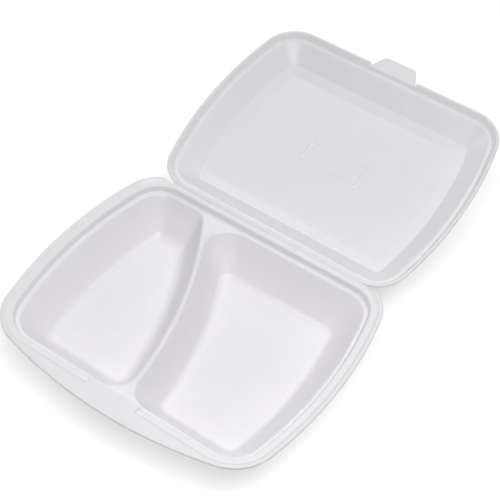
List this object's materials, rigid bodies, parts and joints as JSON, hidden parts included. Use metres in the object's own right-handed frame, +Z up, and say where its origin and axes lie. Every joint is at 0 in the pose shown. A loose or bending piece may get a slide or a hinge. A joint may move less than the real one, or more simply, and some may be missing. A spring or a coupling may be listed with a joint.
{
  "type": "compartment meal box",
  "caption": "White foam takeaway meal box standing open, its wells parted by a curved divider, with a shallow hinged lid and a locking tongue",
  "frame": {"origin": "middle of the open box's footprint, on the surface it stands on", "axes": "+X along the hinge to the user's right, +Y from the front lip towards the lid, +Z up"},
  "size_m": [0.2398, 0.3958, 0.0716],
  "materials": {
    "foam": "soft satin foam skin"
  },
  "bodies": {
    "base": {"base_tray": "foam", "living_hinge": "foam"},
    "lid": {"lid": "foam"}
  },
  "joints": [
    {"name": "lid_hinge", "type": "hinge", "parent": "base", "child": "lid", "pos_m": [0, 0.00362, 0.03415], "axis": [1, 0, 0], "range_deg": [-15, 168.5], "deforming": ["living_hinge"]}
  ]
}
